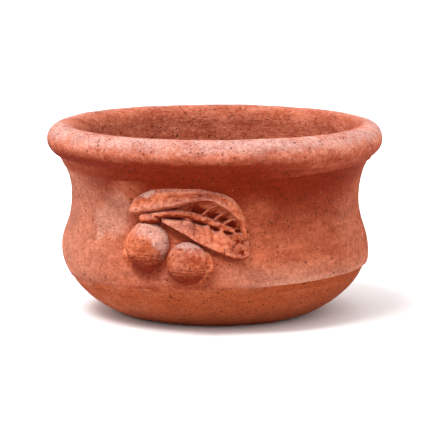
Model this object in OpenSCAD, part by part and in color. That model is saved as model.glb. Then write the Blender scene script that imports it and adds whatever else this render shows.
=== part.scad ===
// Low terracotta bowl planter with a rolled rim, a waisted wall and an applied relief
// of a leaf with two round fruits, drawn as the separate pieces of clay it is made from.
// Millimetres. Z is up, the origin is on the foot plane in the middle of the drain hole,
// and the relief faces -Y.

/* [Pot] */
// Outside diameter of the rolled rim
rim_d = 300; // [296:1:306]
// Height from the foot to the crest of the rim
pot_h = 170.5; // [167:0.5:176]
// Diameter of the rolled rim's round section
rim_roll_d = 29; // [27:0.5:31]
// Narrowest outside diameter, at the waist
waist_d = 257; // [254:1:260]
// Height of the waist
waist_h = 104.5; // [103:0.5:107]
// Widest outside diameter of the belly
belly_d = 275.6; // [273:0.2:279]
// Height of the widest part of the belly
belly_h = 56; // [54:1:58]
// Outside diameter of the foot
foot_d = 165; // [158:1:170]

/* [Clay thickness] */
// Thickness of the wall at the belly and of the lower bowl
wall_t = 13; // [11:0.5:15]
// Thickness of the base slab
floor_t = 14; // [12:1:17]
// Diameter of the drain hole in the base slab
drain_d = 24; // [12:1:36]
// How far the wall stands out over the lower bowl at the seam
seam_step = 1.2; // [0.6:0.1:2]

/* [Relief] */
// Radius of the left fruit
fruit_left_r = 19.8; // [17:0.1:21]
// Radius of the right fruit
fruit_right_r = 18.8; // [16:0.1:20]
// Thickness of the leaf blade under the midrib and the veins
blade_t = 2.2; // [1.6:0.1:3]
// Thickness of the blade at its lower lip
blade_lip = 7.5; // [5:0.5:9]
// Height of the rolled leaf margin over the wall, at its crest
margin_h = 8; // [6:0.5:10]
// Height of the midrib over the blade, where it leaves the twig
midrib_h = 5; // [3:0.5:6]

/* [Hidden] */
$fn = 180;

// Fired earthenware, palest on the rim and reddest on the lower bowl
rim_clay = [0.83, 0.55, 0.47];
wall_clay = [0.74, 0.41, 0.31];
bowl_clay = [0.65, 0.33, 0.22];
leaf_clay = [0.77, 0.45, 0.35];
fruit_clay = [0.78, 0.43, 0.33];

// ---- Profile of the outside: the belly's arc runs into the waist's hollow arc ----
belly_arc = 60;
belly = [belly_d / 2, belly_h];
waist = [waist_d / 2, waist_h];
waist_arc = partner_arc(belly, waist, belly_arc);

// ---- Rolled rim; the inside of the wall ends flush with the inside of the roll ----
roll_r = rim_roll_d / 2;
roll_c = [rim_d / 2 - roll_r, pot_h - roll_r];
mouth_r = roll_c.x - roll_r;
neck_h = roll_c.y - roll_r;
tongue_r = 4;
tongue_c = [mouth_r + 9, neck_h];

// ---- Profile of the inside, in the same two kinds of arc ----
inner_waist = [mouth_r - 4.5, neck_h - 32];
inner_waist_arc = end_arc(inner_waist, [mouth_r, neck_h]);
inner_belly = [belly.x - wall_t, belly_h];
inner_belly_arc = partner_arc(inner_waist, inner_belly, inner_waist_arc);

// ---- Lower bowl: one arc from the foot up to the seam, which is a climbing bevel ----
seam_h = belly_h - 12;
seam_rise = 7;
seam = [wall_r(seam_h), seam_h];
bowl_arc = 90;
bowl_top = [seam.x - seam_step, seam_h];
bowl_c = arc_centre([foot_d / 2, 0], bowl_top, bowl_arc);
slab_r = foot_d / 2 - 12;
slab_bevel = 6;

// ---- Band of clay smoothed in under the rim ----
band_t = 1.3;
band_h = 8;

// The radius of an arc with its extreme point at q that runs smoothly into the arc of
// radius p_arc with its extreme point at p, the two bending opposite ways
function partner_arc(p, q, p_arc) =
    let (across = abs(p.x - q.x), along = q.y - p.y)
    (across * across + along * along - 2 * p_arc * across) / (2 * across);

// The radius of an arc with its extreme point at p that ends at q
function end_arc(p, q) =
    let (across = abs(p.x - q.x), along = q.y - p.y)
    (across * across + along * along) / (2 * across);

// The centre of an arc of radius r from p up to q that bulges outwards
function arc_centre(p, q, r) =
    let (step = q - p, half = norm(step) / 2)
    (p + q) / 2 + [-step.y, step.x] / norm(step) * sqrt(r * r - half * half);

// The height where the belly's arc hands over to the waist's
function join_h(b, b_arc, w, w_arc) = b.y + (w.y - b.y) * b_arc / (b_arc + w_arc);

// Outside radius of the wall at height z
function wall_r(z) =
    z < join_h(belly, belly_arc, waist, waist_arc)
        ? belly.x - belly_arc + sqrt(pow(belly_arc, 2) - pow(z - belly_h, 2))
        : waist.x + waist_arc - sqrt(pow(waist_arc + bite, 2) - pow(z - waist_h, 2));

// Section of all that is inside a belly arc b and a waist arc w, from z0 up to z1.
// The waist's arc bites a hair into the belly's, so that they cross and don't just touch.
bite = 0.05;

module core(b, b_arc, w, w_arc, z0, z1) {
    join = join_h(b, b_arc, w, w_arc);
    intersection() {
        union() {
            square([b.x - b_arc, join]);
            translate([b.x - b_arc, b.y]) circle(b_arc);
            difference() {
                translate([0, join]) square([w.x + w_arc / 2, pot_h - join]);
                translate([w.x + w_arc, w.y]) circle(w_arc + bite);
            }
        }
        translate([0, z0]) square([rim_d, z1 - z0]);
    }
}

// The same for the outside of the wall, lifted off it by lift
module outer_core(z0, z1, lift = 0) {
    core(belly + [lift, 0], belly_arc + lift, waist + [lift, 0], waist_arc - lift, z0, z1);
}

module inner_core(z0, z1) {
    core(inner_belly, inner_belly_arc, inner_waist, inner_waist_arc, z0, z1);
}

// Everything inside the outer face of the wall, which the relief is laid on
module wall_body() {
    rotate_extrude() outer_core(seam_h - 8, neck_h);
}

// Section of all that lies below the seam
module below_seam() {
    polygon([[0, -1], [rim_d, -1], [rim_d, seam_h], seam,
             [inner_belly.x - 1, seam_h + seam_rise], [0, seam_h + seam_rise]]);
}

module slab_section() {
    polygon([[0, 0], [slab_r, 0], [slab_r + slab_bevel, floor_t], [0, floor_t]]);
}

// The roll, with the flat inner corner that sits on the wall
module rim_section() {
    translate(roll_c) circle(roll_r);
    translate([mouth_r, neck_h]) square(roll_r);
}

module tongue_section() {
    translate(tongue_c) circle(tongue_r);
}

// ---- Pieces thrown and coiled on the wheel ----

// Round slab with the drain hole, bevelled so that it wedges into the bowl
module base_slab() {
    color(bowl_clay)
    difference() {
        rotate_extrude() slab_section();
        translate([0, 0, -1]) cylinder(d = drain_d, h = floor_t + 2);
    }
}

module lower_bowl() {
    color(bowl_clay)
    rotate_extrude() difference() {
        intersection() {
            translate(bowl_c) circle(bowl_arc);
            below_seam();
            translate([slab_r, 0]) square([rim_d, pot_h]);
        }
        intersection() {
            translate(bowl_c) circle(bowl_arc - wall_t);
            translate([0, floor_t]) square([rim_d, pot_h]);
        }
        slab_section();
    }
}

// Belly and waist, with the round tongue that the rim is pressed down on
module upper_wall() {
    color(wall_clay)
    rotate_extrude() {
        difference() {
            outer_core(seam_h, neck_h + roll_r / 2);
            inner_core(0, pot_h);
            below_seam();
            rim_section();
            translate([0, neck_h]) square(roll_c);
        }
        tongue_section();
    }
}

module neck_band() {
    color(wall_clay)
    rotate_extrude() difference() {
        outer_core(neck_h - band_h, neck_h + roll_r / 5, band_t);
        outer_core(0, pot_h);
        rim_section();
    }
}

module rim_coil() {
    color(rim_clay)
    rotate_extrude() difference() {
        rim_section();
        tongue_section();
    }
}

// ---- Laying clay on the wall ----
// A place in the relief is [width, height]: width is measured round the wall from the
// middle of the relief at relief_r, and height from the foot.
relief_r = 131;

function turn_of(p) = p.x / relief_r * 180 / PI;

function on_wall(p, lift = 0) =
    let (a = turn_of(p), r = wall_r(p.y) + lift) [r * sin(a), -r * cos(a), p.y];

// A smooth run of rows through the rows given, in n steps from each to the next
function smooth(rows, n) = [
    for (i = [0 : len(rows) - 2], k = [0 : n - 1])
        let (t = k / n, a = rows[max(i - 1, 0)], b = rows[i], c = rows[i + 1],
             d = rows[min(i + 2, len(rows) - 1)])
        b + (c - a) * t / 2 + (2 * a - 5 * b + 4 * c - d) * t * t / 2
            + (3 * b - a - 3 * c + d) * t * t * t / 2,
    rows[len(rows) - 1]];

// A solid between two sheets of points of the same size, tops over feet
module laid(tops, feet) {
    rows = len(tops);
    cols = len(tops[0]);
    points = [for (sheet = [tops, feet], row = sheet) each row];
    function top(i, j) = i * cols + j;
    function foot(i, j) = (rows + i) * cols + j;
    function quad(a, b, c, d) = [[a, b, c], [a, c, d]];
    polyhedron(points, [
        for (i = [0 : rows - 2], j = [0 : cols - 2]) each concat(
            quad(top(i, j), top(i, j + 1), top(i + 1, j + 1), top(i + 1, j)),
            quad(foot(i, j), foot(i + 1, j), foot(i + 1, j + 1), foot(i, j + 1))),
        for (i = [0 : rows - 2]) each concat(
            quad(top(i, 0), top(i + 1, 0), foot(i + 1, 0), foot(i, 0)),
            quad(top(i, cols - 1), foot(i, cols - 1), foot(i + 1, cols - 1),
                 top(i + 1, cols - 1))),
        for (j = [0 : cols - 2]) each concat(
            quad(top(0, j), foot(0, j), foot(0, j + 1), top(0, j + 1)),
            quad(top(rows - 1, j), top(rows - 1, j + 1), foot(rows - 1, j + 1),
                 foot(rows - 1, j)))]);
}

edge_t = 0.5;

// A rolled strip, domed from edge to edge over its seat. Its route runs from left to
// right, and each row holds the place of its lower edge, that of its upper edge, and
// its height, as five numbers.
module strip(route, seat = 0, steps = 3, across = 6) {
    rows = smooth(route, steps);
    function place(row, a) =
        let (f = (1 - cos(a)) / 2) [row[0], row[1]] * (1 - f) + [row[2], row[3]] * f;
    laid([for (row = rows) [for (a = [0 : 180 / across : 180])
              on_wall(place(row, a), seat + edge_t + row[4] * sin(a))]],
         [for (row = rows) [for (a = [0 : 180 / across : 180])
              on_wall(place(row, a), seat)]]);
}

// ---- Leaf ----
// Rows from the stem to the tip: lower edge, midrib, upper edge
blade_rows = [
    [-37, 101.5, -37, 104, -37, 105],
    [-29, 101.5, -29, 105, -29, 107],
    [-20, 99.5, -20, 107, -20, 109],
    [-10, 94.5, -10, 108, -10, 111.5],
    [0, 89.5, 0, 107.5, 0, 114.5],
    [10, 83.5, 10, 104.5, 10, 116.5],
    [20, 78.5, 20, 100.5, 20, 117],
    [30, 73.5, 30, 96, 29.5, 113],
    [38, 70, 38, 93, 38, 105.5],
    [44.5, 68.5, 44, 91, 43.5, 99],
    [47, 71, 46.5, 82, 47.5, 92]];
lobes = 5;
lobe_h = 1.4;

// Thickness of the blade at f from the lower lip (0) to the midrib (1) and t along it:
// the lower half swells into lobes, with a crease from the lip up between each two
function blade_top(f, t) =
    f >= 1 ? blade_t
           : blade_t + (blade_lip - blade_t) * pow(1 - f, 0.6) * min(1, 5 * t)
             - lobe_h * pow(abs(cos(180 * lobes * t)), 4) * sin(180 * f);

module leaf_blade() {
    half = 6;
    rows = smooth(blade_rows, 4);
    last = len(rows) - 1;
    function place(row, f) =
        f <= 1 ? [row[0], row[1]] * (1 - f) + [row[2], row[3]] * f
               : [row[2], row[3]] * (2 - f) + [row[4], row[5]] * (f - 1);
    color(leaf_clay)
    laid([for (i = [0 : last]) [for (j = [0 : 2 * half])
              on_wall(place(rows[i], j / half), blade_top(j / half, i / last))]],
         [for (i = [0 : last]) [for (j = [0 : 2 * half])
              on_wall(place(rows[i], j / half))]]);
}

// From the blunt knob over the stem, along the top of the leaf and round its tip; the
// inner edge, which faces the blade, counts as the lower one
module leaf_margin() {
    color(leaf_clay)
    strip([[-49, 109, -50, 114.5, margin_h * 0.45],
           [-45, 105.8, -45, 119, margin_h * 0.8],
           [-34, 107.4, -32, 124, margin_h],
           [-21, 109.8, -20, 126, margin_h],
           [-8.5, 112.5, -7, 127.3, margin_h],
           [8, 116.9, 10, 127, margin_h * 0.95],
           [20.5, 117.6, 24, 125, margin_h * 0.9],
           [31, 112.4, 36, 120.5, margin_h * 0.85],
           [39.5, 105.2, 45, 111, margin_h * 0.8],
           [45, 98.5, 50.5, 100, margin_h * 0.75],
           [48.6, 88, 54, 87, margin_h * 0.75],
           [48.6, 77.5, 55, 75, margin_h * 0.7],
           [47.6, 70.5, 50.5, 67.6, margin_h * 0.4]], across = 8);
}

module leaf_midrib() {
    color(leaf_clay)
    strip([[-36, 101.6, -36, 106.6, midrib_h * 0.7],
           [-28, 102.2, -28, 107.6, midrib_h],
           [-20, 104.6, -20, 109.4, midrib_h],
           [-10, 105.8, -10, 110.4, midrib_h * 0.95],
           [0, 105.4, 0, 109.8, midrib_h * 0.9],
           [10, 102.6, 10, 106.6, midrib_h * 0.85],
           [20, 98.8, 20, 102.6, midrib_h * 0.8],
           [30, 94.6, 30, 98, midrib_h * 0.7],
           [38, 92, 38, 95, midrib_h * 0.6],
           [45, 89.2, 45, 91.6, midrib_h * 0.4]], seat = blade_t);
}

// Veins in the upper half of the leaf: where each leaves the midrib, and where it
// reaches the margin
vein_w = 1.8;
vein_h = 3;
vein_runs = [[[0.5, 110.6], [7.5, 115.6]],
             [[15.5, 105.6], [25.5, 113]],
             [[25.5, 101.4], [34, 107]],
             [[33.5, 98], [41.5, 101]]];

module leaf_veins() {
    color(leaf_clay)
    for (run = vein_runs) {
        along = (run[1] - run[0]) / norm(run[1] - run[0]);
        side = [-along.y, along.x] * vein_w / 2;
        strip([for (t = [0 : 0.25 : 1])
                   let (p = run[0] * (1 - t) + run[1] * t, w = 1 - 0.4 * t)
                   [each (p - side * w), each (p + side * w), vein_h * (1 - 0.5 * t)]],
              seat = blade_t, steps = 1, across = 4);
    }
}

// Short cut twig below the stem
module twig() {
    color(leaf_clay)
    strip([[-41.5, 98.5, -42, 101.2, 3],
           [-38, 94.8, -38, 100.8, 5.5],
           [-33, 95.6, -32, 100.8, 5.5],
           [-29, 96.4, -27, 100.6, 4.5],
           [-25, 97, -24, 99, 3]]);
}

// ---- Fruits: each is [place, radius, how far its centre is sunk into the wall] ----
fruit_left_at = [-33.5, 76];
fruit_right_at = [2.5, 63.5];
fruit_sink = 3;
bead_r = 4.5;

// Puts its children with their +Z pointing straight out of the wall at p
module facing_out(p, sink) {
    rotate([0, 0, turn_of(p)])
    translate([0, sink - wall_r(p.y), p.y])
    rotate([90, 0, 0])
    children();
}

// The ball's own seam line is turned to the far side, out of the way of the cut
module fruit_ball(p, r) {
    facing_out(p, fruit_sink) rotate([0, 0, 180]) sphere(r, $fn = 120);
}

// A bead of soft clay pressed into the corner between a fruit and the wall, over the
// part of its rim that is not under the leaf or against the other fruit
module fruit_bead(p, r, from, sweep) {
    difference() {
        facing_out(p, fruit_sink)
        rotate([0, 0, from])
        rotate_extrude(angle = sweep) difference() {
            translate([r - 1, 1]) circle(bead_r);
            circle(r);
        }
        wall_body();
    }
}

module fruit_left() {
    color(fruit_clay)
    difference() {
        fruit_ball(fruit_left_at, fruit_left_r);
        wall_body();
    }
}

module fruit_right() {
    color(fruit_clay)
    difference() {
        fruit_ball(fruit_right_at, fruit_right_r);
        fruit_ball(fruit_left_at, fruit_left_r);
        wall_body();
    }
}

module fruit_left_bead() {
    color(fruit_clay) fruit_bead(fruit_left_at, fruit_left_r, 140, 110);
}

module fruit_right_bead() {
    color(fruit_clay) fruit_bead(fruit_right_at, fruit_right_r, 235, 155);
}

base_slab();
lower_bowl();
upper_wall();
neck_band();
rim_coil();
leaf_blade();
leaf_margin();
leaf_midrib();
leaf_veins();
twig();
fruit_left();
fruit_right();
fruit_left_bead();
fruit_right_bead();
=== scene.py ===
"""Looks of a low terracotta bowl planter with a rolled rim and a leaf-and-fruit relief.

Everything is in metres, in the part's own frame: +Z is up, the foot stands on z = 0, the
pot's axis is the Z axis, and the relief faces -Y. The sections follow the pot as it is
put together: the thrown wall, the lower bowl, the base, the rim and the band under it,
and then the relief that is laid on the wall.
"""
import math

import bpy
import numpy as np
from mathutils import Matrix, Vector, noise


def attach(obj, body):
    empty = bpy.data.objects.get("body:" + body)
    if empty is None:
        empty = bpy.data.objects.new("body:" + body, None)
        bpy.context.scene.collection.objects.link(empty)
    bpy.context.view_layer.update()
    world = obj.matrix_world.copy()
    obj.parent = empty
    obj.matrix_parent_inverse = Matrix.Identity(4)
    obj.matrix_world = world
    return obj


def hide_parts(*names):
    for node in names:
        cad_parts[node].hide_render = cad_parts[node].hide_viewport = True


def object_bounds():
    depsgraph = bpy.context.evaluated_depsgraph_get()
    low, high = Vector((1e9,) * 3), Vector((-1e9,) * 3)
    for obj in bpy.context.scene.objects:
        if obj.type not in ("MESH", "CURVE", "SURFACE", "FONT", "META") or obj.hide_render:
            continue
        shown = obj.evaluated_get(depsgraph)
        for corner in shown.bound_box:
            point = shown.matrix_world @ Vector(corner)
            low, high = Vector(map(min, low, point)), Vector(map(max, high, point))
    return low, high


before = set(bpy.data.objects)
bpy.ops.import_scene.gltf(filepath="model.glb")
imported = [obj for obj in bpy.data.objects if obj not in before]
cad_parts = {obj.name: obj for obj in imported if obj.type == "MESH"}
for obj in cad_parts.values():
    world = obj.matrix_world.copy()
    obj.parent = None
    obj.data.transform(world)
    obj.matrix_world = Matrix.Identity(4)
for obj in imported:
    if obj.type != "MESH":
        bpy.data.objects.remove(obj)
cad_low, cad_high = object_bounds()
MM = 0.001

# ---- Camera ----
# A long lens far off, a little above the rim, and turned to the right of the relief so
# that the relief sits on the pot's left.
camera_turn = math.radians(11)
camera_rise = math.radians(8.69)
camera_distance = 2.512
camera_target = Vector((0, 0, 85.6 * MM))
camera_data = bpy.data.cameras.new("camera")
camera_data.sensor_width = 36
camera_data.lens = 234.4
camera = bpy.data.objects.new("camera", camera_data)
bpy.context.collection.objects.link(camera)
camera_way = Vector((math.sin(camera_turn) * math.cos(camera_rise),
                     -math.cos(camera_turn) * math.cos(camera_rise),
                     math.sin(camera_rise)))
camera.location = camera_target + camera_distance * camera_way
camera.rotation_euler = camera_way.to_track_quat("Z", "Y").to_euler()
bpy.context.scene.camera = camera

# ---- Floor and studio light ----
# A pale card floor under a high tent of white cloth, brightest overhead and at its two
# sides, with one wide lamp from the upper left of the front.
bpy.context.scene.view_settings.view_transform = "Standard"


def add(tree, kind, settings=None, inputs=None):
    """Adds a shader node, with its settings and with a value or a link at each input."""
    made = tree.nodes.new("ShaderNode" + kind)
    for key, value in (settings or {}).items():
        setattr(made, key, value)
    for key, value in (inputs or {}).items():
        if isinstance(value, bpy.types.NodeSocket):
            tree.links.new(value, made.inputs[key])
        else:
            made.inputs[key].default_value = value
    return made


def linear(code):
    """The linear colour of an sRGB hex value such as #c8693f."""
    parts = [int(code[i:i + 2], 16) / 255 for i in (1, 3, 5)]
    return [p / 12.92 if p <= 0.04045 else ((p + 0.055) / 1.055) ** 2.4 for p in parts] + [1]


side_glow = 0.75
tent = bpy.data.worlds.new("light_tent")
tent.use_nodes = True
bpy.context.scene.world = tent
way = add(tent.node_tree, "SeparateXYZ", inputs={
    "Vector": add(tent.node_tree, "TexCoord").outputs["Generated"]})
overhead = add(tent.node_tree, "MapRange", inputs={
    "Value": way.outputs["Z"], "From Max": 0.9, "To Min": 0.5, "To Max": 1.25})
sideways = add(tent.node_tree, "Math", {"operation": "MULTIPLY"}, {
    0: way.outputs["X"], 1: way.outputs["X"]})
strength = add(tent.node_tree, "Math", {"operation": "MULTIPLY_ADD"}, {
    0: sideways.outputs[0], 1: side_glow, 2: overhead.outputs[0]})
tent.node_tree.links.new(strength.outputs[0],
                         tent.node_tree.nodes["Background"].inputs["Strength"])
tent.node_tree.nodes["Background"].inputs["Color"].default_value = (1, 1, 1, 1)

lamp_way = Vector((-0.50, -0.62, 1.60))
lamp_data = bpy.data.lights.new("wide_lamp", "SUN")
lamp_data.angle = math.radians(30)
lamp_data.energy = 2.7
lamp = bpy.data.objects.new("wide_lamp", lamp_data)
lamp.rotation_euler = lamp_way.to_track_quat("Z", "Y").to_euler()
bpy.context.collection.objects.link(lamp)

bpy.ops.object.select_all(action="DESELECT")
bpy.ops.mesh.primitive_plane_add(size=60)
floor = bpy.context.object
floor.name = "floor"
# Matt white card: it takes a soft shadow and gives no gloss
pale_card = bpy.data.materials.new("pale_card")
pale_card.use_nodes = True
card = pale_card.node_tree.nodes["Principled BSDF"]
card.inputs["Base Color"].default_value = linear("#f8f8f8")
card.inputs["Roughness"].default_value = 1
card.inputs["Specular IOR Level"].default_value = 0
floor.data.materials.append(pale_card)

# ---- Upper wall ----
# The thrown belly and waist of the pot: red earthenware, finished on the wheel with a
# wet rib, so that fine lines run round it. It is lapped over the lower bowl at the seam.
rim_r = cad_high[0]
pot_h = cad_high[2]
belly_arc = 60 * MM
belly_r, belly_z = 137.8 * MM, 56 * MM
waist_r, waist_z = 128.5 * MM, 104.5 * MM
wall_t = 13 * MM
roll_r = 14.5 * MM
roll_at = (rim_r - roll_r, pot_h - roll_r)
mouth_r = roll_at[0] - roll_r
neck_z = roll_at[1] - roll_r
tongue_r = 4 * MM
tongue_at = (mouth_r + 9 * MM, neck_z)
seam_below = 12 * MM
seam_z = belly_z - seam_below
seam_rise = 7 * MM
seam_step = 1.2 * MM
foot_r = 82.5 * MM
bowl_arc = 90 * MM


def partner_arc(p_r, p_z, q_r, q_z, p_arc):
    """The radius of the arc with its extreme at q that runs smoothly into the one at p."""
    across, along = abs(p_r - q_r), q_z - p_z
    return (across ** 2 + along ** 2) / (2 * across) - p_arc


waist_arc = partner_arc(belly_r, belly_z, waist_r, waist_z, belly_arc)
join_z = belly_z + (waist_z - belly_z) * belly_arc / (belly_arc + waist_arc)
inner_waist_in, inner_waist_down = 4.5 * MM, 32 * MM
inner_waist_r, inner_waist_z = mouth_r - inner_waist_in, neck_z - inner_waist_down
inner_waist_arc = (inner_waist_in ** 2 + inner_waist_down ** 2) / (2 * inner_waist_in)
inner_belly_r = belly_r - wall_t
inner_belly_arc = partner_arc(inner_waist_r, inner_waist_z, inner_belly_r, belly_z,
                              inner_waist_arc)
inner_join_z = belly_z + ((inner_waist_z - belly_z) * inner_belly_arc
                          / (inner_belly_arc + inner_waist_arc))


def arc(centre, radius, start, end, step=1.5 * MM):
    """Points of a profile along an arc; 0 degrees is straight out and 90 straight up."""
    count = max(2, math.ceil(abs(math.radians(end - start)) * radius / step))
    angles = [math.radians(start + (end - start) * i / count) for i in range(count + 1)]
    return [(centre[0] + radius * math.cos(a), centre[1] + radius * math.sin(a))
            for a in angles]


def line(start, end, step=2.5 * MM):
    """Points of a profile along a straight line, without its ends."""
    count = max(1, math.ceil(math.dist(start, end) / step))
    return [(start[0] + (end[0] - start[0]) * i / count,
             start[1] + (end[1] - start[1]) * i / count) for i in range(1, count)]


def slope(rise, radius):
    """The angle on an arc, in degrees, of the point that is this much above its centre."""
    return math.degrees(math.asin(rise / radius))


def joined(*runs):
    """One closed profile out of arcs and corner points, with the straights filled in."""
    points = []
    for run in runs:
        run = run if isinstance(run, list) else [run]
        if points:
            points += line(points[-1], run[0])
        points += run
    return points + line(points[-1], points[0])


def thrown(name, profile, turns=440):
    """Spins a closed profile of (radius, height) points round the pot's axis."""
    count = len(profile)
    mesh = bpy.data.meshes.new(name)
    mesh.from_pydata([(r, 0, z) for r, z in profile],
                     [(i, (i + 1) % count) for i in range(count)], [])
    piece = bpy.data.objects.new(name, mesh)
    bpy.context.collection.objects.link(piece)
    bpy.ops.object.select_all(action="DESELECT")
    bpy.context.view_layer.objects.active = piece
    piece.select_set(True)
    bpy.ops.object.mode_set(mode="EDIT")
    bpy.ops.mesh.select_all(action="SELECT")
    bpy.ops.mesh.spin(steps=turns, angle=2 * math.pi, center=(0, 0, 0), axis=(0, 0, 1))
    bpy.ops.mesh.remove_doubles(threshold=0.001 * MM)
    bpy.ops.mesh.normals_make_consistent(inside=False)
    bpy.ops.object.mode_set(mode="OBJECT")
    bpy.ops.object.shade_smooth_by_angle(angle=math.radians(40))
    # Spin can turn the shape inside out: its highest point has to face up
    highest = places(piece)[:, 2].argmax()
    if directions(piece)[highest, 2] < 0:
        piece.data.flip_normals()
    return piece


def places(piece):
    """The piece's vertices as an array."""
    co = np.empty(len(piece.data.vertices) * 3)
    piece.data.vertices.foreach_get("co", co)
    return co.reshape(-1, 3)


def directions(piece):
    """The piece's vertex normals as an array."""
    out = np.empty(len(piece.data.vertices) * 3)
    piece.data.vertex_normals.foreach_get("vector", out)
    return out.reshape(-1, 3)


def move_to(piece, co):
    """Puts the piece's vertices at new places."""
    piece.data.vertices.foreach_set("co", np.ascontiguousarray(co).ravel())
    piece.data.update()


def ripple(co, grain, seed, squash=1):
    """Smooth noise from about -1 to 1 over places, with lumps of the grain's size. With a
    squash over 1 the lumps are that much flatter than they are wide."""
    scaled = co / grain * (1, 1, squash) + seed
    return np.array([noise.noise(p) for p in scaled.tolist()])


def smoothstep(value, low, high):
    """0 up to low, 1 from high on and eased between them; low may be the larger."""
    t = np.clip((value - low) / (high - low), 0, 1)
    return t * t * (3 - 2 * t)


def turn_of(co):
    """Angle round the pot from the middle of the relief, positive to the right."""
    return np.arctan2(co[:, 0], -co[:, 1])


def radius_of(co):
    """Distance from the pot's axis."""
    return np.hypot(co[:, 0], co[:, 1])


def dent(s, z, at, length, width, slant, soft):
    """A round patch on the unrolled wall, in mm, of this half length, half width and slant
    in degrees: 1 in its middle and 0 past its edge, which is as soft as it says."""
    c, d = math.cos(math.radians(slant)), math.sin(math.radians(slant))
    along = ((s - at[0]) * c + (z - at[1]) * d) / length
    across = ((z - at[1]) * c - (s - at[0]) * d) / width
    return smoothstep(1 + soft / 2 - np.hypot(along, across), 0, soft)


relief_r = 131 * MM
seam_tilt = 4.6 * MM
seam_drop = 3.1 * MM
tilt_spread = 13 * MM
mouth_shift = 1.8 * MM
slip_t = 0.55 * MM
# Where slip is wiped on, in mm: middle, half length, half width and slant
slip_patches = [((-36, 92), 21, 36, 8), ((-2, 104), 52, 25, -14), ((4, 60), 27, 21, -10),
                ((42, 84), 17, 20, 0)]


def by_hand(co):
    """What the potter's hand did to the true round shape, the same for every piece: the
    seam climbs to the right, along the pot's outline, and the mouth is set over."""
    co = co.copy()
    climb = np.exp(-((co[:, 2] - seam_z) / tilt_spread) ** 2)
    climb *= seam_tilt * np.sin(turn_of(co) - camera_turn) - seam_drop
    co = shifted_out(co, skin_radius(co[:, 2] + climb) - skin_radius(co[:, 2]))
    co[:, 2] += climb
    inside = (smoothstep(radius_of(co), rim_r - 14 * MM, mouth_r)
              * smoothstep(co[:, 2], 90 * MM, 140 * MM))
    co[:, 0] += mouth_shift * inside
    return co


def hand_marks(co, lines, lumps, seed):
    """How far wheel lines and finger lumps of these depths push out the clay at places;
    on the whole they press it in, so that the piece keeps its size."""
    depth = lines * ripple(co, 11 * MM, seed, squash=5)
    depth += lines * 0.6 * ripple(co, 5 * MM, seed + 7, squash=4)
    depth += lumps * ripple(co, 26 * MM, seed + 13)
    depth += 0.25 * lumps * ripple(co, 6.5 * MM, seed + 19)
    return depth - 0.6 * (lines + lumps)


def slipped(co):
    """Thickness in metres of the skin of slip that is wiped round the relief."""
    s, z = turn_of(co) * relief_r / MM, co[:, 2] / MM
    s = s + 2.5 * ripple(co, 16 * MM, 81.0)
    skin = np.zeros(len(co))
    for at, length, width, slant in slip_patches:
        skin = np.maximum(skin, dent(s, z, at, length, width, slant, soft=0.09))
    return slip_t * skin


def marked(piece, marks):
    """Presses such marks into a piece along its normals, but not at the joint inside the
    mouth, which is smoothed over."""
    co = places(piece)
    joint = np.exp(-((co[:, 2] - neck_z) / tongue_r) ** 2) * (radius_of(co) < mouth_r + tongue_r)
    depth = hand_marks(co, *marks) * (1 - joint)
    move_to(piece, co + directions(piece) * depth[:, None])


def tell(piece, name, values):
    """Stores a number from 0 to 1 at every vertex, for the piece's material to read."""
    layer = piece.data.attributes.new(name, "FLOAT", "POINT")
    layer.data.foreach_set("value", np.clip(values, 0, 1).astype(np.float32))


def weather(piece, worn=0.5, lime_and_painted_light=0.0, deep=0.0, under=0.95):
    """Tells the material where the pale colour goes: on what faces up, as lime and as painted
    light from above, and in the patches given. And where painted shade goes: on what faces down,
    as strong as under says, and in the places given."""
    co, out = places(piece), directions(piece)
    patch = 0.55 + 0.6 * ripple(co, 15 * MM, 90.0)
    tell(piece, "lime_and_painted_light", np.maximum(lime_and_painted_light, worn * smoothstep(out[:, 2], 0.1, 0.9) * patch))
    tell(piece, "hollow", np.maximum(deep, under * smoothstep(-out[:, 2], -0.2, 0.6)))


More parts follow.
